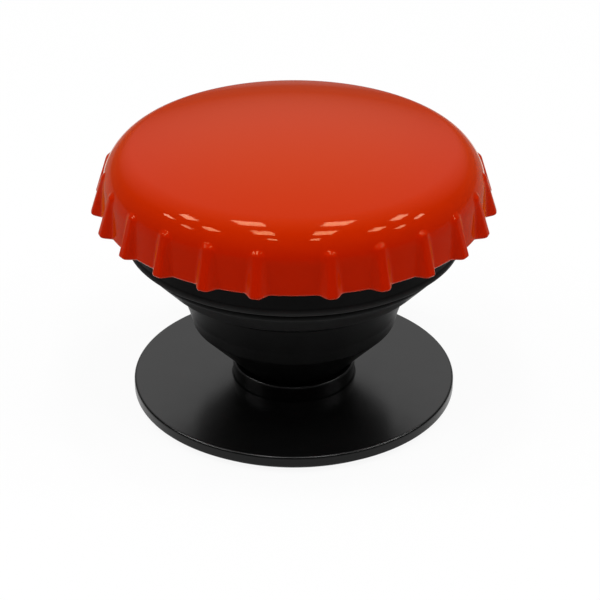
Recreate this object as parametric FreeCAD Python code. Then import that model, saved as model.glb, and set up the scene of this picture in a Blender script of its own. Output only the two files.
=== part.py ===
import FreeCAD
import Part
import math
import os

# Pop-up phone holder with a bottle-cap top: sticky pad, base disc, swivelling foot, folding bellows and cap.
# Millimetres, +Z up. The origin is the centre of the sticky face that goes on the phone.
# The holder is drawn popped up, and every height is stacked on the piece below it.

# Sticky pad
pad_radius = 19.0
pad_thickness = 0.8

# Base disc and the collar that the bellows stands in
base_radius = 20.0
base_thickness = 1.4
base_edge_bevel = 0.3
collar_outer_radius = 7.6
collar_wall = 0.7
collar_height = 2.1
collar_lip_bevel = 0.2
collar_foot_bevel = 0.35

# Swivel: the bellows' foot turns in the collar on a snap rivet pushed up through the base
swivel_side_gap = 0.15
journal_gap = 0.08
end_gap = 0.05
foot_wall = 0.9
foot_floor = 0.9
rivet_head_gap = 0.3
rivet_head_height = 0.75
rivet_groove_depth = 0.6
rivet_head_setback = 0.1
rivet_flange_width = 0.9
rivet_flange_thickness = 0.6

# Bellows, outside sizes, from the collar's mouth up to the plate
lower_cone_rise = 6.4
ridge_band_height = 1.9
ridge_band_draft = 0.7
middle_ridge_radius = 13.0
middle_wall_rise = 3.2
valley_radius = 14.0
upper_fold_rise = 5.7
upper_fold_bulge = 0.35
upper_fold_round = 6.0
rim_draft = 0.3
rim_height = 6.1
rim_lip_width = 0.9
fold_wall = 0.7
middle_wall = 1.0
rim_wall = 1.2
lip_bevel = 0.4
bond_flange_width = 2.4
bond_flange_thickness = 1.0

# Button plate that joins the bellows to the cap
plate_gap = 0.15
plate_thickness = 1.6
plate_spigot_wall = 1.2
plate_spigot_height = 1.2

# Bottle cap
skirt_overlap = 2.15
skirt_gap = 0.86
cap_height = 10.55
cap_body_radius = 22.86
cap_wall = 1.3
shoulder_round = 5.0
shoulder_height = 3.15
skirt_flare_deg = 5.0
seat_ring_radius = 15.5
seat_ring_wall = 1.2
cap_rib_count = 6
cap_rib_thickness = 1.0

# Flutes round the cap's skirt
flute_count = 24
flute_front_gap_deg = 20.5
flute_height = 5.6
flute_reach = 1.25
flute_top_reach = 0.34
flute_crest_round = 0.75
flute_side_deg = 40.0
flute_end_round = 0.8
flute_sink = 0.3

# Worked-out levels
base_bottom = pad_thickness
base_top = base_bottom + base_thickness
collar_top = base_top + collar_height
foot_bottom = base_top + end_gap
ridge_band_level = collar_top + lower_cone_rise
middle_ridge_level = ridge_band_level + ridge_band_height
valley_level = middle_ridge_level + middle_wall_rise
rim_level = valley_level + upper_fold_rise
plate_bottom = rim_level + rim_height
plate_top = plate_bottom + plate_thickness
skirt_bottom = plate_bottom - skirt_overlap
cap_top = skirt_bottom + cap_height

# Worked-out radii of the swivel
collar_inner_radius = collar_outer_radius - collar_wall
foot_radius = collar_inner_radius - swivel_side_gap
rivet_head_radius = foot_radius - foot_wall - rivet_head_gap
rivet_groove_radius = rivet_head_radius - rivet_groove_depth
journal_radius = rivet_head_radius + rivet_head_setback
rivet_flange_radius = journal_radius + rivet_flange_width

# Worked-out radii of the bellows' top, which hangs inside the cap's skirt
rim_top_radius = cap_body_radius - cap_wall - skirt_gap
rim_radius = rim_top_radius - rim_draft
bond_flange_inner_radius = rim_top_radius - rim_wall - bond_flange_width

AXIS = FreeCAD.Vector(0, 0, 1)
ORIGIN = FreeCAD.Vector(0, 0, 0)
FULL_TURN = 360.0
FRONT_DEG = -90.0  # the side that faces -Y
STRAIGHT_ENOUGH = 1e-6  # radians by which a corner may miss a straight line and still count as straight
SHORTEST_EDGE = 1e-7
LONGEST_ROUND = 0.45  # share of a section's side that one rounded corner may take
HEAD_BEVEL_SHARE = 0.6  # share of the rivet head's height that its lead-in bevel takes


def section_point(r, z):
    """A point of a turned section: r from the axis, z up."""
    return FreeCAD.Vector(r, 0, z)


def corner_arc(before, corner, after, radius):
    """The ends and middle of the arc that rounds a section's corner, or None where the corner stays sharp."""
    to_before = before.sub(corner)
    to_after = after.sub(corner)
    half_angle = to_before.getAngle(to_after) / 2
    if radius <= 0 or abs(half_angle - math.pi / 2) < STRAIGHT_ENOUGH:
        return None
    longest_setback = LONGEST_ROUND * min(to_before.Length, to_after.Length)
    setback = min(radius / math.tan(half_angle), longest_setback)
    to_before.normalize()
    to_after.normalize()
    bisector = to_before.add(to_after).normalize()
    used_radius = setback * math.tan(half_angle)
    middle = corner.add(bisector * (used_radius / math.sin(half_angle) - used_radius))
    return corner.add(to_before * setback), middle, corner.add(to_after * setback)


def turned(corners):
    """Turns a closed section about the axis. Each corner is (r, z) or (r, z, rounding radius)."""
    points = [section_point(c[0], c[1]) for c in corners]
    radii = [c[2] if len(c) > 2 else 0.0 for c in corners]
    count = len(points)
    arcs = [corner_arc(points[i - 1], points[i], points[(i + 1) % count], radii[i]) for i in range(count)]
    edges = []
    for i in range(count):
        start = arcs[i][2] if arcs[i] else points[i]
        following = arcs[(i + 1) % count]
        end = following[0] if following else points[(i + 1) % count]
        if arcs[i]:
            edges.append(Part.Arc(*arcs[i]).toShape())
        if start.distanceToPoint(end) > SHORTEST_EDGE:
            edges.append(Part.LineSegment(start, end).toShape())
    return turned_edges(edges)


def turned_edges(edges):
    """Turns a closed chain of section edges about the axis."""
    face = Part.Face(Part.Wire(edges))
    return face.revolve(ORIGIN, AXIS, FULL_TURN)


def ring(inner_radius, outer_radius, bottom, top):
    """A plain ring about the axis."""
    outer = Part.makeCylinder(outer_radius, top - bottom, section_point(0, bottom))
    return outer.cut(Part.makeCylinder(inner_radius, top - bottom, section_point(0, bottom)))


def round_pattern(shape, count, start_deg, step_deg):
    """Copies of a shape about the axis, one step apart."""
    copies = []
    for i in range(count):
        copy = shape.copy()
        copy.rotate(ORIGIN, AXIS, start_deg + i * step_deg)
        copies.append(copy)
    return copies


def sticky_pad():
    """Flat disc of foam tape under the base."""
    return Part.makeCylinder(pad_radius, pad_thickness)


def base_disc():
    """Thin disc with a short collar round its middle, and a stepped hole for the rivet from below."""
    hole_radius = journal_radius + journal_gap
    recess_radius = rivet_flange_radius + swivel_side_gap
    recess_top = base_bottom + rivet_flange_thickness + 2 * end_gap
    return turned([
        (recess_radius, base_bottom),
        (base_radius, base_bottom),
        (base_radius, base_top - base_edge_bevel),
        (base_radius - base_edge_bevel, base_top),
        (collar_outer_radius + collar_foot_bevel, base_top),
        (collar_outer_radius, base_top + collar_foot_bevel),
        (collar_outer_radius, collar_top - collar_lip_bevel),
        (collar_outer_radius - collar_lip_bevel, collar_top),
        (collar_inner_radius + collar_lip_bevel, collar_top),
        (collar_inner_radius, collar_top - collar_lip_bevel),
        (collar_inner_radius, base_top),
        (hole_radius, base_top),
        (hole_radius, recess_top),
        (recess_radius, recess_top),
    ])


def swivel_rivet():
    """Snap rivet: flange in the base's recess, journal in its hole, groove for the bellows' floor, head."""
    flange_bottom = base_bottom + end_gap
    flange_top = flange_bottom + rivet_flange_thickness
    groove_top = foot_bottom + foot_floor
    head_top = groove_top + rivet_head_height
    head_bevel = min(rivet_groove_depth, HEAD_BEVEL_SHARE * rivet_head_height)
    return turned([
        (0, flange_bottom),
        (rivet_flange_radius, flange_bottom),
        (rivet_flange_radius, flange_top),
        (journal_radius, flange_top),
        (journal_radius, foot_bottom),
        (rivet_groove_radius, foot_bottom),
        (rivet_groove_radius, groove_top),
        (rivet_head_radius, groove_top),
        (rivet_head_radius, head_top - head_bevel),
        (rivet_head_radius - head_bevel, head_top),
        (0, head_top),
    ])


def inwards(start, end):
    """Unit vector from a section line into the bellows, for a line drawn from the bellows' top down."""
    along = end.sub(start).normalize()
    return FreeCAD.Vector(along.z, 0, -along.x)


def mitre(before, corner, after, wall):
    """A corner of the bellows' outside moved in so that both sides meeting there keep the wall."""
    first = inwards(before, corner)
    second = inwards(corner, after)
    return corner.add(first.add(second) * (wall / (1 + first.dot(second))))


def crossing(point_a, along_a, point_b, along_b):
    """Where two section lines cross, each given by a point and a direction."""
    gap = point_b.sub(point_a)
    share = (gap.x * along_b.z - gap.z * along_b.x) / (along_a.x * along_b.z - along_a.z * along_b.x)
    return point_a.add(along_a * share)


def bellows():
    """One soft moulding: deep rim, rounded fold to a valley, wall to a ridge band, cone and floored foot."""
    rim_top = section_point(rim_top_radius, plate_bottom)
    rim_lip = section_point(rim_radius, rim_level)
    root = section_point(rim_radius - rim_lip_width, rim_level)
    valley = section_point(valley_radius, valley_level)
    fold = root.add(valley).multiply(0.5).sub(inwards(root, valley) * upper_fold_bulge)
    ridge = section_point(middle_ridge_radius, middle_ridge_level)
    band_foot = section_point(middle_ridge_radius - ridge_band_draft, ridge_band_level)
    mouth = section_point(foot_radius, collar_top)
    foot = section_point(foot_radius, foot_bottom)

    crease_wall = (fold_wall + middle_wall) / 2
    inner_rim_top = rim_top.add(inwards(rim_top, rim_lip) * rim_wall)
    inner_root = crossing(inner_rim_top, rim_lip.sub(rim_top), root.add(inwards(root, fold) * fold_wall),
                          fold.sub(root))
    inner_fold = mitre(root, fold, valley, fold_wall)
    inner_valley = mitre(fold, valley, ridge, crease_wall)
    inner_ridge = mitre(valley, ridge, band_foot, crease_wall)
    inner_band_foot = mitre(ridge, band_foot, mouth, fold_wall)
    inner_mouth = mitre(band_foot, mouth, foot, foot_wall)
    floor_top = foot_bottom + foot_floor
    flange_bottom = plate_bottom - bond_flange_thickness
    flange_root = crossing(inner_rim_top, rim_lip.sub(rim_top), section_point(0, flange_bottom),
                           section_point(1, 0))
    lip_side = rim_lip.add(rim_top.sub(rim_lip).normalize() * lip_bevel)
    return turned([
        (rim_top.x, rim_top.z),
        (lip_side.x, lip_side.z),
        (rim_lip.x - lip_bevel, rim_lip.z),
        (root.x, root.z),
        (fold.x, fold.z, upper_fold_round),
        (valley.x, valley.z),
        (ridge.x, ridge.z),
        (band_foot.x, band_foot.z),
        (mouth.x, mouth.z),
        (foot.x, foot.z),
        (rivet_groove_radius, foot_bottom),
        (rivet_groove_radius, floor_top),
        (foot_radius - foot_wall, floor_top),
        (inner_mouth.x, inner_mouth.z),
        (inner_band_foot.x, inner_band_foot.z),
        (inner_ridge.x, inner_ridge.z),
        (inner_valley.x, inner_valley.z),
        (inner_fold.x, inner_fold.z),
        (inner_root.x, inner_root.z),
        (flange_root.x, flange_bottom),
        (bond_flange_inner_radius, flange_bottom),
        (bond_flange_inner_radius, plate_bottom),
    ])


def cap_outline():
    """Shoulder centre and crown radius of the cap. The arcs are tangent, and the shoulder meets the skirt."""
    shoulder_centre_r = cap_body_radius - shoulder_round
    shoulder_centre_z = skirt_bottom + shoulder_height
    rise = cap_top - shoulder_centre_z
    crown_radius = (shoulder_centre_r ** 2 + rise ** 2 - shoulder_round ** 2) / (2 * (rise - shoulder_round))
    return shoulder_centre_r, shoulder_centre_z, crown_radius


def skirt_radius(level, inset):
    """Radius of the skirt's flared wall at a level, moved in by the inset."""
    shoulder_centre_r, shoulder_centre_z, _ = cap_outline()
    flare = math.radians(skirt_flare_deg)
    above_level = shoulder_centre_z - level
    return shoulder_centre_r + (shoulder_round - inset) / math.cos(flare) + above_level * math.tan(flare)


def cap_radius(level, inset=0.0):
    """Radius of the cap's flared skirt at a level, or of its shoulder above that, moved in by the inset."""
    shoulder_centre_r, shoulder_centre_z, _ = cap_outline()
    if level <= shoulder_centre_z:
        return skirt_radius(level, inset)
    return shoulder_centre_r + math.sqrt((shoulder_round - inset) ** 2 - (level - shoulder_centre_z) ** 2)


def on_shoulder(angle, inset=0.0):
    """Point of the shoulder's arc at an angle above level, moved in by the inset."""
    shoulder_centre_r, shoulder_centre_z, _ = cap_outline()
    radius = shoulder_round - inset
    return section_point(shoulder_centre_r + radius * math.cos(angle),
                         shoulder_centre_z + radius * math.sin(angle))


def cap_form():
    """The cap's outer form without flutes, filled down to the skirt's edge."""
    shoulder_centre_r, shoulder_centre_z, crown_radius = cap_outline()
    crown_centre_z = cap_top - crown_radius
    flare = math.radians(skirt_flare_deg)
    tangent = math.atan2(shoulder_centre_z - crown_centre_z, shoulder_centre_r)
    crown_middle = (math.pi / 2 + tangent) / 2
    apex = section_point(0, cap_top)
    on_crown = section_point(crown_radius * math.cos(crown_middle),
                             crown_centre_z + crown_radius * math.sin(crown_middle))
    skirt_foot = section_point(skirt_radius(skirt_bottom, 0), skirt_bottom)
    centre = section_point(0, skirt_bottom)
    return turned_edges([
        Part.Arc(apex, on_crown, on_shoulder(tangent)).toShape(),
        Part.Arc(on_shoulder(tangent), on_shoulder((tangent + flare) / 2), on_shoulder(flare)).toShape(),
        Part.LineSegment(on_shoulder(flare), skirt_foot).toShape(),
        Part.LineSegment(skirt_foot, centre).toShape(),
        Part.LineSegment(centre, apex).toShape(),
    ])


def cap_hollow(wall):
    """The cap's inside, cored with straight drafts that keep at least the wall."""
    corners = [on_shoulder(angle, wall) for angle in (0, math.pi / 4, math.pi / 2)]
    return turned([
        (0, skirt_bottom),
        (skirt_radius(skirt_bottom, wall), skirt_bottom),
        *[(corner.x, corner.z) for corner in corners],
        (0, cap_top - wall),
    ])


def flute():
    """One flute, along +X: a round-crested rib of one section, leaning out further than the skirt so that it
    grows and widens towards its tip, and rounded off at its upper end."""
    end_level = skirt_bottom + flute_height
    tip = section_point(cap_radius(skirt_bottom) + flute_reach, skirt_bottom)
    end = section_point(cap_radius(end_level) + flute_top_reach, end_level)
    along = end.sub(tip).normalize()
    into_wall = FreeCAD.Vector(-along.z, 0, along.x)
    sideways = FreeCAD.Vector(0, 1, 0)
    side = math.radians(flute_side_deg)
    start = tip.sub(along * flute_reach)
    depth = flute_reach + flute_sink

    def at(inward, across):
        return start.add(into_wall * inward).add(sideways * across)

    tangent_depth = flute_crest_round * (1 - math.sin(side))
    tangent_half = flute_crest_round * math.cos(side)
    root_half = tangent_half + (depth - tangent_depth) * math.tan(side)
    section = Part.Wire([
        Part.LineSegment(at(depth, -root_half), at(tangent_depth, -tangent_half)).toShape(),
        Part.Arc(at(tangent_depth, -tangent_half), at(0, 0), at(tangent_depth, tangent_half)).toShape(),
        Part.LineSegment(at(tangent_depth, tangent_half), at(depth, root_half)).toShape(),
        Part.LineSegment(at(depth, root_half), at(depth, -root_half)).toShape(),
    ])
    rib = Part.Face(section).extrude(along * (flute_height + 2 * flute_reach))
    ends = turned([
        (0, skirt_bottom),
        (tip.x + flute_reach, skirt_bottom),
        (end.x, end_level, flute_end_round),
        (0, end_level),
    ])
    ends.rotate(ORIGIN, AXIS, FULL_TURN / 2)  # the turned form's seam goes to the far side of the axis
    return rib.common(ends)


def bottle_cap():
    """Moulded cap: a crowned shell with a fluted skirt that leaves a wider panel at the front, and a ribbed
    ring inside that seats the plate."""
    flute_step_deg = (FULL_TURN - flute_front_gap_deg) / (flute_count - 1)
    flutes = round_pattern(flute(), flute_count, FRONT_DEG + flute_front_gap_deg / 2, flute_step_deg)
    shell = cap_form().fuse(flutes).cut(cap_hollow(cap_wall))
    seat = ring(seat_ring_radius - seat_ring_wall, seat_ring_radius, plate_top, cap_top)
    rib_start = seat_ring_radius - seat_ring_wall / 2
    rib = Part.makeBox(cap_body_radius - rib_start, cap_rib_thickness, cap_top - plate_top,
                       FreeCAD.Vector(rib_start, -cap_rib_thickness / 2, plate_top))
    ribs = round_pattern(rib, cap_rib_count, 0, FULL_TURN / cap_rib_count)
    inside_frame = seat.fuse(ribs).common(cap_hollow(cap_wall / 2))
    return shell.fuse(inside_frame).removeSplitter()


def button_plate():
    """Stiff disc glued up into the cap, with a ring below that centres the bellows' bonding flange."""
    plate_radius = cap_radius(plate_top, cap_wall) - plate_gap
    spigot_radius = bond_flange_inner_radius - plate_gap
    spigot_bottom = plate_bottom - plate_spigot_height
    locator_radius = seat_ring_radius - seat_ring_wall - plate_gap
    locator_top = plate_top + plate_spigot_height
    return turned([
        (0, plate_bottom),
        (spigot_radius - plate_spigot_wall, plate_bottom),
        (spigot_radius - plate_spigot_wall, spigot_bottom),
        (spigot_radius, spigot_bottom),
        (spigot_radius, plate_bottom),
        (plate_radius, plate_bottom),
        (plate_radius, plate_top),
        (locator_radius, plate_top),
        (locator_radius, locator_top),
        (locator_radius - plate_spigot_wall, locator_top),
        (locator_radius - plate_spigot_wall, plate_top),
        (0, plate_top),
    ])


PIECES = {
    "sticky_pad": sticky_pad,
    "base_disc": base_disc,
    "swivel_rivet": swivel_rivet,
    "bellows": bellows,
    "button_plate": button_plate,
    "bottle_cap": bottle_cap,
}


def main():
    os.makedirs("parts", exist_ok=True)
    for name, make in PIECES.items():
        shape = make()
        shape.exportStep(os.path.join("parts", name + ".step"))
        box = shape.BoundBox
        print(f"{name}: {len(shape.Solids)} solid, valid {shape.isValid()}, {shape.Volume:.1f} mm3,"
              f" z {box.ZMin:.2f} to {box.ZMax:.2f}, {box.XLength:.2f} across")


main()
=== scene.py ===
import math
import bpy
import numpy as np
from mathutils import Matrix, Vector


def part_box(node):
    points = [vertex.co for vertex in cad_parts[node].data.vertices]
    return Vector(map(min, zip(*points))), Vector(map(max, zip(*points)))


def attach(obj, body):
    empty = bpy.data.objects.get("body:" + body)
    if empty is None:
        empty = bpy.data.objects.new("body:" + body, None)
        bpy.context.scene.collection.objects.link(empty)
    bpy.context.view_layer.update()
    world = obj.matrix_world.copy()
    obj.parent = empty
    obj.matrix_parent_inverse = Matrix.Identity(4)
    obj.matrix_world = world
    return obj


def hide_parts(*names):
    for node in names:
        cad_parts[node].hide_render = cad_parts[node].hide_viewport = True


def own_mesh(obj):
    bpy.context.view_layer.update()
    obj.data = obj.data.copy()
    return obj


# Pop-up phone holder: a gloss cap with a fluted skirt, a folding rubber bellows, and a satin base disc on
# foam tape. The dictionaries are in millimetres, in the CAD frame; meshes are written in metres.

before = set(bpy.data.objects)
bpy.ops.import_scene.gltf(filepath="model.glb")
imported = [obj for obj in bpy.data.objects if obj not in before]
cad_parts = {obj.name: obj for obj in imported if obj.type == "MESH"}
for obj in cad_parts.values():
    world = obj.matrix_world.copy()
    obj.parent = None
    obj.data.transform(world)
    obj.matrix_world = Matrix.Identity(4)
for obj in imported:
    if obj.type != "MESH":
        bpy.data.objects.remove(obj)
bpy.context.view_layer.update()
mm = 0.001
scene = bpy.context.scene
print("frame loaded:", sorted(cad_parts))


def nodeSpan(node):  # lowest level, highest level and widest radius of a CAD node, in mm
    low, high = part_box(node)
    return low.z / mm, high.z / mm, high.x / mm


padLow, padHigh, padRadius = nodeSpan("sticky_pad")
baseLow, collarTop, baseRadius = nodeSpan("base_disc")
footLow, plateBottom, rimTopRadius = nodeSpan("bellows")
skirtBottom, capTop = nodeSpan("bottle_cap")[:2]


# Shapes

# A section line with rounded corners: each corner is (r, z, radius); arcs are sampled finely, straight runs
# get a guard point just off each arc, so that shading stays flat, and points about every step.
line = {"step": 0.9, "arcStep": 0.07, "fewestArcParts": 5, "guard": 0.05}


def roundedLine(corners, closed):
    points = np.array([corner[:2] for corner in corners], float)
    count = len(points)
    bends = []
    for i, corner in enumerate(corners):
        here = points[i]
        if corner[2] == 0 or (not closed and i in (0, count - 1)):
            bends.append(here[None])
            continue
        back = points[i - 1] - here
        ahead = points[(i + 1) % count] - here
        back /= np.linalg.norm(back)
        ahead /= np.linalg.norm(ahead)
        half = math.acos(float(np.clip(back @ ahead, -1, 1))) / 2
        setback = corner[2] / math.tan(half)
        centre = here + (back + ahead) / np.linalg.norm(back + ahead) * corner[2] / math.sin(half)
        first = here + back * setback - centre
        last = here + ahead * setback - centre
        start = math.atan2(first[1], first[0])
        sweep = (math.atan2(last[1], last[0]) - start + math.pi) % (2 * math.pi) - math.pi
        parts = max(line["fewestArcParts"], math.ceil(corner[2] * abs(sweep) / line["arcStep"]))
        angle = start + sweep * np.linspace(0, 1, parts + 1)
        bends.append(centre + corner[2] * np.stack([np.cos(angle), np.sin(angle)], 1))
    pieces = []
    for i in range(count if closed else count - 1):
        start, end = bends[i][-1], bends[(i + 1) % count][0]
        length = np.linalg.norm(end - start)
        guard = min(line["guard"], length / 4)
        inner = np.linspace(guard, length - guard, max(2, math.ceil(length / line["step"]))) / length
        pieces += [bends[i], start + (end - start) * inner[:, None]]
    if not closed:
        pieces.append(bends[-1])
    return np.concatenate(pieces)


def turned(section, columns):  # each section point (r, z) carried round the axis
    theta = 2 * np.pi * np.arange(columns) / columns
    r, z = section[:, :1], section[:, 1:]
    return np.stack([r * np.cos(theta), r * np.sin(theta), z + 0 * theta], -1)


# Grid of points, rows along the section and columns round the axis, made into a closed mesh: columns always
# join up, rows join up where the section is a loop, and a row on the axis becomes one pole point.
def gridPiece(name, grid, loop):
    rows, columns = grid.shape[:2]
    points = grid.reshape(-1, 3)
    index = np.arange(rows * columns).reshape(rows, columns)
    if loop:
        index = np.vstack([index, index[:1]])
    else:
        index[0] = index[0, 0]
        index[-1] = index[-1, 0]
    after = np.roll(index, -1, 1)
    quads = np.stack([index[:-1], after[:-1], after[1:], index[1:]], -1).reshape(-1, 4)
    a, b, c, d = (points[quads[:, k]] for k in range(4))
    volume = (np.cross(a, b) * c).sum() + (np.cross(a, c) * d).sum()
    if volume < 0:
        quads = quads[:, ::-1]
    used, renumbered = np.unique(quads, return_inverse=True)
    quads = renumbered.reshape(-1, 4)
    top = (quads[:, 0] == quads[:, 1]) | (quads[:, 2] == quads[:, 3]) | (quads[:, 1] == quads[:, 2])
    top |= quads[:, 3] == quads[:, 0]
    fans = [list(dict.fromkeys(face)) for face in quads[top].tolist()]  # the triangles round a pole
    mesh = bpy.data.meshes.new(name)
    mesh.from_pydata((points[used] * mm).tolist(), [], quads[~top].tolist() + fans)
    mesh.polygons.foreach_set("use_smooth", np.ones(len(mesh.polygons), bool))
    mesh.update()
    piece = bpy.data.objects.new(name, mesh)
    scene.collection.objects.link(piece)
    print("made", name, "with", len(mesh.polygons), "faces")
    return piece


def dress(piece, body, slotName, material, *nodes):
    piece.data.materials.clear()
    piece.data.materials.append(material)
    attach(piece, body)
    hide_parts(*nodes)


# Materials

def toLinear(hexColour):
    srgb = np.array([int(hexColour[i:i + 2], 16) for i in (1, 3, 5)]) / 255
    linear = np.where(srgb <= 0.04045, srgb / 12.92, ((srgb + 0.055) / 1.055) ** 2.4)
    return (*linear.tolist(), 1.0)


def addNode(tree, kind, settings, links):  # a key is an input's name or number, or else a setting of the node
    node = tree.nodes.new(kind)
    for key, value in settings.items():
        if isinstance(key, int) or key in node.inputs:
            node.inputs[key].default_value = value
        else:
            setattr(node, key, value)
    for key, socket in links.items():
        tree.links.new(socket, node.inputs[key])
    return node


def perMetre(sizeMm):  # texture scale for a pattern of that size
    return 1 / (sizeMm * mm)


# A moulded surface: colour drifts a little over the flow of the melt, gloss varies in patches, and the tool's
# grain stands up as fine bumps. Real tool grain is finer than 0.1 mm; it is drawn coarser, so that it shows.
noise = {"flowDetail": 3.0, "patchDetail": 4.0, "grainDetail": 2.0, "patchSpan": (0.3, 0.7)}


def mouldedSurface(name, look):
    material = bpy.data.materials.new(name)
    material.use_nodes = True
    tree = material.node_tree
    tree.nodes.clear()
    place = addNode(tree, "ShaderNodeTexCoord", {}, {}).outputs["Object"]
    height = addNode(tree, "ShaderNodeSeparateXYZ", {}, {"Vector": place}).outputs["Z"]
    flow, patches, grain = [
        addNode(tree, "ShaderNodeTexNoise",
                {"Scale": perMetre(look[kind + "Size"]), "Detail": noise[kind + "Detail"]},
                {"Vector": place}).outputs["Fac"] for kind in ("flow", "patch", "grain")]

    def overHeight(steps):  # a value that passes through the given amount at each level
        low, high = steps[0][0], steps[-1][0]
        share = addNode(tree, "ShaderNodeMapRange", {"From Min": low * mm, "From Max": high * mm},
                        {"Value": height})
        ramp = addNode(tree, "ShaderNodeValToRGB", {}, {"Fac": share.outputs["Result"]})
        stops = ramp.color_ramp.elements
        stops.remove(stops[1])
        for k, (level, amount) in enumerate(steps):
            stop = stops.new((level - low) / (high - low)) if k else stops[0]
            stop.color = (amount, amount, amount, 1)
        return ramp.outputs["Color"]

    colour = addNode(tree, "ShaderNodeMix", {"data_type": "RGBA", 6: toLinear(look["colour"]),
                                             7: toLinear(look["flowColour"])}, {0: flow})
    # painted light: a lighter colour blended in over a band of heights, standing in for a highlight or haze
    # that the lamps put there
    if "paintedLightColour" in look:
        colour = addNode(tree, "ShaderNodeMix", {"data_type": "RGBA", 7: toLinear(look["paintedLightColour"])},
                         {0: overHeight(look["paintedLightLevels"]), 6: colour.outputs[2]})
    gloss = addNode(tree, "ShaderNodeMapRange",
                    {"From Min": noise["patchSpan"][0], "From Max": noise["patchSpan"][1],
                     "To Min": look["roughness"][0], "To Max": look["roughness"][1]}, {"Value": patches})
    bump = addNode(tree, "ShaderNodeBump", {"Strength": look["grainStrength"],
                                            "Distance": look["grainDepth"] * mm}, {"Height": grain})
    shader = addNode(tree, "ShaderNodeBsdfPrincipled", look["shine"],
                     {"Base Color": colour.outputs[2], "Roughness": gloss.outputs["Result"],
                      "Normal": bump.outputs["Normal"]})
    if "shineLevels" in look:
        tree.links.new(overHeight(look["shineLevels"]), shader.inputs["Specular IOR Level"])
    addNode(tree, "ShaderNodeOutputMaterial", {}, {"Surface": shader.outputs["BSDF"]})
    return material


# High-gloss moulded ABS, pigmented through: a deep red with a painted lighter, warmer crown standing in for
# the overhead light's haze, a warm haze at its edges, and crisp lamp reflections that ripple very slightly.
glossAbs = mouldedSurface("gloss_moulded_abs", {
    "colour": "#AC1700", "flowColour": "#A71600", "flowSize": 9.0, "patchSize": 5.0,
    "paintedLightColour": "#A82A00", "paintedLightLevels": ((30.0, 0), (35.5, 1)), "roughness": (0.035, 0.055),
    "grainSize": 1.6, "grainStrength": 0.06, "grainDepth": 0.02,
    "shine": {"IOR": 1.26, "Specular Tint": toLinear("#FFCC92"), "Sheen Weight": 0.3, "Sheen Roughness": 0.4,
              "Sheen Tint": toLinear("#FF8A00")}})

# Moulded thermoplastic elastomer: soft black with a dull satin sheen and a slightly grained skin.
rubberLook = {
    "colour": "#0A0A0A", "flowColour": "#0D0D0D", "flowSize": 6.0, "patchSize": 2.5, "roughness": (0.34, 0.4),
    "grainSize": 0.35, "grainStrength": 0.12, "grainDepth": 0.02,
    "shine": {"IOR": 1.4, "Specular IOR Level": 0.06}}
satinRubber = mouldedSurface("satin_moulded_elastomer", rubberLook)

# The same elastomer with painted highlights: a faint pale band painted on the upper fold and on the lip above
# it, standing in for the light these catch.
foldRubber = mouldedSurface("fold_elastomer_painted_highlight",
                            rubberLook | {"paintedLightColour": "#1E1E1E", "paintedLightLevels": ((15.9, 0), (17.2, 1))})
lipRubber = mouldedSurface("lip_elastomer_painted_highlight",
                           rubberLook | {"paintedLightColour": "#272727", "paintedLightLevels": ((21.8, 1), (22.2, 0))})

# Polycarbonate moulded in a fine spark-eroded tool: black, with an even satin reflection on the flat top of
# the disc and duller walls at its rim and collar.
satinPolycarbonate = mouldedSurface("satin_moulded_polycarbonate", {
    "colour": "#050505", "flowColour": "#070707", "flowSize": 8.0, "patchSize": 3.0,
    "roughness": (0.24, 0.27), "grainSize": 0.3, "grainStrength": 0.08, "grainDepth": 0.01,
    "shine": {"IOR": 1.7},
    "shineLevels": ((2.1, 0.12), (2.2, 0.5), (2.21, 0.5), (2.3, 0.12), (3.95, 0.12), (4.1, 0.3))})

# Acetal, moulded and slippery: a waxy dark grey.
waxyAcetal = mouldedSurface("waxy_moulded_acetal", {
    "colour": "#1E1E20", "flowColour": "#242426", "flowSize": 4.0, "patchSize": 2.0, "roughness": (0.3, 0.38),
    "grainSize": 0.4, "grainStrength": 0.1, "grainDepth": 0.02, "shine": {"IOR": 1.48}})

# Closed-cell acrylic foam tape with a tacky face: charcoal, dull, with the cut cells just visible.
foamTape = mouldedSurface("acrylic_foam_tape", {
    "colour": "#2A2A2C", "flowColour": "#222224", "flowSize": 0.9, "patchSize": 1.2, "roughness": (0.6, 0.75),
    "grainSize": 0.5, "grainStrength": 0.6, "grainDepth": 0.08, "shine": {"IOR": 1.47}})
print("materials ready")


# Cap: a crowned shell. The outer section is a crown arc, a shoulder arc and a flared skirt line. Flutes lift
# it outwards by (crest line minus section) times a bell curve: cos squared of the distance from the flute's
# middle line over its half width, past a narrow flat. Near the flute's end that distance also counts the
# height, which rounds the end off.
cap = {
    "bodyRadius": 22.86, "wall": 1.3, "shoulderRound": 5.0, "shoulderHeight": 3.15, "flareDeg": 5.0,
    "fluteCount": 24, "frontGapDeg": 20.5, "fluteHeight": 5.35, "fluteReach": 1.25, "endReach": 0.38,
    "tipHalfWidth": 1.55, "endHalfWidth": 1.0, "crestFlat": 0.2, "crestRun": 1.3, "endRound": 0.8,
    "endStretch": 1.2, "edgeRound": 0.3, "crownRows": 26, "shoulderRows": 16, "fluteRows": 60, "edgeRows": 6,
    "bottomRows": 5, "coreRows": 5, "columnsPerFlute": 28, "crowding": 0.6,
}


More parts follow.
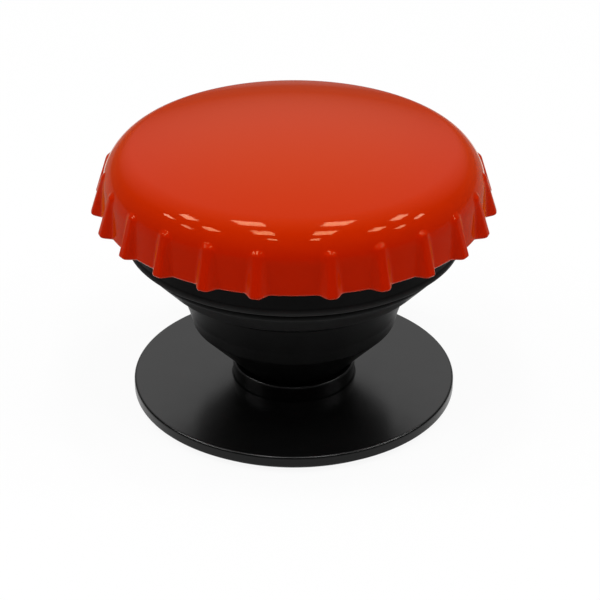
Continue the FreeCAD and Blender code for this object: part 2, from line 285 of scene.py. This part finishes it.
def capShell():
    flare = math.radians(cap["flareDeg"])
    shoulderR = cap["bodyRadius"] - cap["shoulderRound"]
    shoulderZ = skirtBottom + cap["shoulderHeight"]
    rise = capTop - shoulderZ
    crown = (shoulderR ** 2 + rise ** 2 - cap["shoulderRound"] ** 2) / (2 * (rise - cap["shoulderRound"]))
    crownZ = capTop - crown
    joinAngle = math.atan2(shoulderZ - crownZ, shoulderR)
    edgeTop = skirtBottom + cap["edgeRound"]
    endLevel = skirtBottom + cap["fluteHeight"]
    fineLevel = endLevel + cap["endRound"] + cap["endHalfWidth"]
    fineAngle = math.asin((fineLevel - shoulderZ) / cap["shoulderRound"])

    def skirtRadius(z, inset):
        atShoulder = shoulderR + (cap["shoulderRound"] - inset) / math.cos(flare)
        return atShoulder + (shoulderZ - z) * math.tan(flare)

    crownAngle = np.linspace(math.pi / 2, joinAngle, cap["crownRows"])
    upperAngle = np.linspace(joinAngle, fineAngle, cap["shoulderRows"] + 1)[1:]
    levels = np.linspace(fineLevel, edgeTop, cap["fluteRows"] + 1)[1:]
    onArc = shoulderR + np.sqrt(np.maximum(cap["shoulderRound"] ** 2 - (levels - shoulderZ) ** 2, 0))
    arcEnd = shoulderZ + cap["shoulderRound"] * math.sin(flare)
    r = np.concatenate([crown * np.cos(crownAngle), shoulderR + cap["shoulderRound"] * np.cos(upperAngle),
                        np.where(levels > arcEnd, onArc, skirtRadius(levels, 0))])
    z = np.concatenate([crownZ + crown * np.sin(crownAngle),
                        shoulderZ + cap["shoulderRound"] * np.sin(upperAngle), levels])
    r[0] = 0

    # Each flute's columns reach half way to the next flute and crowd together at its middle line.
    gap = math.radians(cap["frontGapDeg"])
    pitch = (2 * math.pi - gap) / (cap["fluteCount"] - 1)
    middle = -math.pi / 2 + gap / 2 + pitch * np.arange(cap["fluteCount"])[:, None]
    u = np.arange(cap["columnsPerFlute"]) * 2 / cap["columnsPerFlute"] - 1
    reach = np.full((cap["fluteCount"], len(u)), pitch / 2)
    reach[0, u < 0] = gap / 2
    reach[-1, u > 0] = gap / 2
    local = reach * (u - cap["crowding"] * np.sin(np.pi * u) / np.pi)
    theta = (middle + local).ravel()
    offLine = local.ravel()

    share = np.clip((z - skirtBottom) / cap["fluteHeight"], 0, cap["crestRun"])[:, None]
    tipRadius = skirtRadius(skirtBottom, 0) + cap["fluteReach"]
    endOnArc = shoulderR + math.sqrt(cap["shoulderRound"] ** 2 - (endLevel - shoulderZ) ** 2)
    endRadius = endOnArc + cap["endReach"]
    crest = tipRadius + (endRadius - tipRadius) * share
    halfWidth = cap["tipHalfWidth"] + (cap["endHalfWidth"] - cap["tipHalfWidth"]) * np.minimum(share, 1)
    above = np.maximum(z[:, None] - (endLevel - cap["endRound"]), 0) * cap["endStretch"]
    distance = np.hypot(offLine * r[:, None], above) / halfWidth
    slope = np.clip((distance - cap["crestFlat"]) / (1 - cap["crestFlat"]), 0, 1)
    bell = np.cos(np.pi / 2 * slope) ** 2
    outer = r[:, None] + np.maximum(crest - r[:, None], 0) * bell * (z[:, None] < fineLevel)

    # The rounded lower edge, the flat under it, and the plain inside.
    turn = np.linspace(0, np.pi / 2, cap["edgeRows"] + 1)[1:, None]
    innerEdge = skirtRadius(skirtBottom, cap["wall"])
    edge = outer[-1] - cap["edgeRound"] * (1 - np.cos(turn))
    edgeZ = edgeTop - cap["edgeRound"] * np.sin(turn)
    across = np.linspace(0, 1, cap["bottomRows"] + 1)[1:, None]
    bottom = edge[-1] + (innerEdge + cap["edgeRound"] - edge[-1]) * across
    rounded = innerEdge + cap["edgeRound"] * (1 - np.sin(turn))
    roundedZ = skirtBottom + cap["edgeRound"] * (1 - np.cos(turn))
    coreAngle = np.linspace(0, np.pi / 2, cap["coreRows"])[:, None]
    core = cap["shoulderRound"] - cap["wall"]
    insideR = np.vstack([shoulderR + core * np.cos(coreAngle), [[0]]])
    insideZ = np.vstack([shoulderZ + core * np.sin(coreAngle), [[capTop - cap["wall"]]]])
    flat = np.zeros_like(theta)
    radius = np.vstack([outer, edge, bottom, rounded + flat, insideR + flat])
    level = np.vstack([z[:, None] + flat, edgeZ + flat, skirtBottom + 0 * bottom, roundedZ + flat,
                       insideZ + flat])
    return np.stack([radius * np.cos(theta), radius * np.sin(theta), level], -1)


dress(gridPiece("capShell", capShell(), False), "cap", "cap_plastic", glossAbs, "bottle_cap")


# Bellows: three turned sections. The rim moves with the cap, and the folds and the foot stay with the foot in
# the collar. From the bead to the band's foot, a corner of the folds is (r, z, rounding radius).
bellows = {
    "rimRadius": 20.3, "rimLevel": 21.3, "rimWall": 1.2, "neck": 0.15, "lipHeight": 0.85, "lipRound": 0.2,
    "lipWidth": 2.15, "floorWall": 0.7, "tuck": 0.6, "tuckGap": 0.05, "crease": 20.55, "creaseRound": 0.1,
    "bead": (18.85, 19.95, 0.45), "fold": (16.25, 17.15, 0.6), "valley": (14.2, 15.9, 0.5),
    "ridge": (13.0, 12.2, 0.6), "bandFoot": (12.55, 10.4, 0.8), "footRadius": 6.75, "mouthRound": 0.5,
    "footRound": 0.15, "foldWall": 0.8, "footWall": 0.9, "seam": 0.15, "columns": 288, "keep": 0.03,
}


def bellowsRim():
    outer, edge = bellows["rimRadius"], bellows["lipRound"]
    root = outer - bellows["lipWidth"]
    inner = rimTopRadius - bellows["rimWall"]
    low = bellows["rimLevel"]
    lipTop, floorTop = low + bellows["lipHeight"], low + bellows["floorWall"]
    section = [(rimTopRadius, plateBottom, 0), (outer - bellows["neck"], lipTop, edge),
               (outer, (low + lipTop) / 2, edge), (outer, low, edge), (root, low, 0), (root, floorTop, 0),
               (inner, floorTop, edge), (inner, plateBottom, 0)]
    return turned(roundedLine(section, True), bellows["columns"])


def bellowsFolds():
    wall = np.array([-bellows["foldWall"], bellows["foldWall"] / 2, 0])  # from the outside to the inside
    root = bellows["rimRadius"] - bellows["lipWidth"] - bellows["tuckGap"]
    top, bottom = bellows["rimLevel"] + bellows["tuck"], collarTop - bellows["seam"]
    footInner = bellows["footRadius"] - bellows["footWall"]
    bends = [bellows["fold"], bellows["valley"], bellows["ridge"], bellows["bandFoot"]]
    outside = [(root, top, 0), (root, bellows["crease"], bellows["creaseRound"]), bellows["bead"], *bends,
               (bellows["footRadius"], collarTop, bellows["mouthRound"]), (bellows["footRadius"], bottom, 0)]
    inside = [tuple(np.array(corner) + wall) for corner in bends]
    section = [*outside, (footInner, bottom, 0), (footInner, collarTop + bellows["foldWall"], 0),
               *inside[::-1], (root - bellows["foldWall"], top, 0)]
    return turned(roundedLine(section, True), bellows["columns"])


def bellowsFoot():
    top = collarTop - bellows["seam"]
    inner = bellows["footRadius"] - bellows["footWall"]
    section = [(bellows["footRadius"], top, 0), (bellows["footRadius"], footLow, bellows["footRound"]),
               (inner, footLow, bellows["footRound"]), (inner, top, 0)]
    return turned(roundedLine(section, True), bellows["columns"] // 2)


dress(gridPiece("bellowsRim", bellowsRim(), True), "cap", "bellows_rubber", lipRubber, "bellows")
folds = gridPiece("bellowsFolds", bellowsFolds(), True)
dress(folds, "foot", "bellows_rubber", foldRubber, "bellows")
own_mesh(folds)
dress(gridPiece("bellowsFoot", bellowsFoot(), True), "foot", "bellows_rubber", satinRubber, "bellows")


# Base disc: one turned section with a softened rim edge, a short collar with a fine groove at its foot and a
# rounded lip, and a stepped hole below.
base = {
    "thickness": 1.4, "edgeRound": 0.32, "underRound": 0.15, "collarRadius": 7.6, "collarWall": 0.7,
    "footGroove": 0.12, "lipRound": 0.25, "holeRadius": 5.73, "recessRadius": 6.7, "recessDepth": 0.7,
    "columns": 320,
}


def baseDisc():
    top = baseLow + base["thickness"]
    recessTop = baseLow + base["recessDepth"]
    collarOuter, lip = base["collarRadius"], base["lipRound"]
    collarInner = collarOuter - base["collarWall"]
    grooveOuter, grooveLow = collarOuter + base["footGroove"], top - base["footGroove"]
    section = [(base["recessRadius"], baseLow, 0), (baseRadius, baseLow, base["underRound"]),
               (baseRadius, top, base["edgeRound"]), (grooveOuter, top, 0), (grooveOuter, grooveLow, 0),
               (collarOuter, grooveLow, 0), (collarOuter, collarTop, lip), (collarInner, collarTop, lip),
               (collarInner, top, 0), (base["holeRadius"], top, 0), (base["holeRadius"], recessTop, 0),
               (base["recessRadius"], recessTop, 0)]
    return turned(roundedLine(section, True), base["columns"])


dress(gridPiece("baseDisc", baseDisc(), True), "base", "base_plastic", satinPolycarbonate, "base_disc")


# Foam tape pad: a turned disc whose cut edge bulges slightly, as squeezed foam does.
pad = {"edgeRound": 0.3, "columns": 240}


def stickyPad():
    section = [(0, padLow, 0), (padRadius, padLow, pad["edgeRound"]), (padRadius, padHigh, pad["edgeRound"]),
               (0, padHigh, 0)]
    return turned(roundedLine(section, False), pad["columns"])


dress(gridPiece("stickyPad", stickyPad(), False), "base", "foam_tape", foamTape, "sticky_pad")

for node, material in (("swivel_rivet", waxyAcetal), ("button_plate", satinPolycarbonate)):
    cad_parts[node].data.materials.clear()
    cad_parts[node].data.materials.append(material)
print("pieces dressed")


# Studio: a pale paper floor with a low paper wall far off, a grey card round the middle of the floor that
# keeps side reflections dark, a room that brightens from dim walls to a pale ceiling, and ceiling panels in
# rows on either side. A panel is (x, y, share of the panel size).
studio = {
    "floorHalf": 2000.0, "wallHeight": 500.0, "floorColour": "#D6D6D6", "floorGlow": 0.92,
    "cardHole": ((-34, -47), (34, -47), (57, 138), (-57, 138)), "cardLift": 0.5, "cardColour": "#787878",
    "walls": 0.1, "ceiling": 1.0, "wallTop": 0.69, "ceilingStart": 1.14, "backLean": 0.61,
    "panelHeight": 1000.0, "panelSize": (165.0, 190.0), "panelGlow": 22.5,
    "panels": ((230, 40, 1), (230, -390, 1), (215, -760, 0.6), (780, 40, 1), (780, -390, 1), (1290, 40, 1),
               (1290, -390, 1)),
}


def square(half, level):
    return [(-half, -half, level), (half, -half, level), (half, half, level), (-half, half, level)]


around = [(0, 1, 5, 4), (1, 2, 6, 5), (2, 3, 7, 6), (3, 0, 4, 7)]  # faces between two squares of points


def sheet(name, corners, faces, material):
    mesh = bpy.data.meshes.new(name)
    mesh.from_pydata((np.array(corners) * mm).tolist(), [], faces)
    mesh.materials.append(material)
    flat = bpy.data.objects.new(name, mesh)
    scene.collection.objects.link(flat)
    return flat


# Matt paper: the camera and reflections see it glow almost white, and the rest of it keeps the object's
# shadow; other light meets plain paper.
def mattPaper():
    material = bpy.data.materials.new("matt_paper_sweep")
    material.use_nodes = True
    tree = material.node_tree
    tree.nodes.clear()
    path = addNode(tree, "ShaderNodeLightPath", {}, {})
    seen = addNode(tree, "ShaderNodeMath", {"operation": "MAXIMUM"},
                   {0: path.outputs["Is Camera Ray"], 1: path.outputs["Is Glossy Ray"]})
    seen = addNode(tree, "ShaderNodeMath", {"operation": "MAXIMUM"},
                   {0: seen.outputs["Value"], 1: path.outputs["Is Transmission Ray"]})
    paper = addNode(tree, "ShaderNodeBsdfDiffuse", {"Color": toLinear(studio["floorColour"])}, {})
    glow = addNode(tree, "ShaderNodeEmission", {"Strength": 1.0}, {})
    share = addNode(tree, "ShaderNodeMath", {"operation": "MULTIPLY", 1: studio["floorGlow"]},
                    {0: seen.outputs["Value"]})
    both = addNode(tree, "ShaderNodeMixShader", {}, {0: share.outputs["Value"], 1: paper.outputs["BSDF"],
                                                     2: glow.outputs["Emission"]})
    addNode(tree, "ShaderNodeOutputMaterial", {}, {"Surface": both.outputs["Shader"]})
    return material


def paperSweep():
    half, paper = studio["floorHalf"], mattPaper()
    sheet("floor", square(half, 0), [(0, 1, 2, 3)], paper)
    wall = sheet("sweepWall", square(half, 0) + square(half, studio["wallHeight"]), around, paper)
    wall.visible_diffuse = wall.visible_glossy = wall.visible_shadow = False  # only backs low views


def greyCard():
    material = bpy.data.materials.new("grey_flocked_card")
    material.use_nodes = True
    tree = material.node_tree
    tree.nodes.clear()
    flock = addNode(tree, "ShaderNodeBsdfDiffuse", {"Color": toLinear(studio["cardColour"])}, {})
    addNode(tree, "ShaderNodeOutputMaterial", {}, {"Surface": flock.outputs["BSDF"]})
    hole = [(x, y, studio["cardLift"]) for x, y in studio["cardHole"]]
    card = sheet("greyCard", square(studio["floorHalf"], studio["cardLift"]) + hole, around, material)
    card.visible_camera = card.visible_diffuse = card.visible_shadow = False  # only reflections meet it


def room():
    world = bpy.data.worlds.new("room")
    scene.world = world
    world.use_nodes = True
    tree = world.node_tree
    tree.nodes.clear()
    place = addNode(tree, "ShaderNodeTexCoord", {}, {}).outputs["Generated"]
    height = addNode(tree, "ShaderNodeVectorMath",
                     {"operation": "DOT_PRODUCT", 1: (0, studio["backLean"], 1)}, {0: place})
    fade = addNode(tree, "ShaderNodeMapRange",
                   {"From Min": studio["wallTop"], "From Max": studio["ceilingStart"],
                    "To Min": studio["walls"], "To Max": studio["ceiling"]},
                   {"Value": height.outputs["Value"]})
    light = addNode(tree, "ShaderNodeBackground", {}, {"Strength": fade.outputs["Result"]})
    addNode(tree, "ShaderNodeOutputWorld", {}, {"Surface": light.outputs["Background"]})


def ceilingPanels():
    for x, y, share in studio["panels"]:
        width, depth = (size * share * mm for size in studio["panelSize"])
        for side in (-1, 1):
            lamp = bpy.data.lights.new("ceilingPanel", "AREA")
            lamp.shape = "RECTANGLE"
            lamp.size = width
            lamp.size_y = depth
            lamp.energy = studio["panelGlow"] * math.pi * width * depth  # radiance to watts
            panel = bpy.data.objects.new("ceilingPanel", lamp)
            panel.location = (side * x * mm, y * mm, studio["panelHeight"] * mm)
            scene.collection.objects.link(panel)


# Camera: where it stands and what it looks at, from the photograph's outlines; the focal length, the frame
# and its centre line are in pixels.
view = {"distance": 260.83, "elevationDeg": 31.194, "discLevel": 0.8, "aimLevel": 12.27, "clipStart": 10.0,
        "focalPixels": 2066.5, "frameWidth": 600, "centrePixel": 293.85, "sensor": 36.0}


def photoCamera():
    data = bpy.data.cameras.new("photoCamera")
    data.sensor_width = view["sensor"]
    data.lens = view["focalPixels"] / view["frameWidth"] * view["sensor"]
    data.shift_x = (view["frameWidth"] / 2 - view["centrePixel"]) / view["frameWidth"]
    data.clip_start = view["clipStart"] * mm
    camera = bpy.data.objects.new("photoCamera", data)
    angle = math.radians(view["elevationDeg"])
    camera.location = Vector((0, -view["distance"] * math.cos(angle),
                              view["distance"] * math.sin(angle) + view["discLevel"])) * mm
    toAim = Vector((0, 0, view["aimLevel"] * mm)) - camera.location
    camera.rotation_euler = toAim.to_track_quat("-Z", "Y").to_euler()
    scene.collection.objects.link(camera)
    scene.camera = camera


paperSweep()
greyCard()
room()
ceilingPanels()
photoCamera()
scene.view_settings.view_transform = "Standard"
print("studio set up")
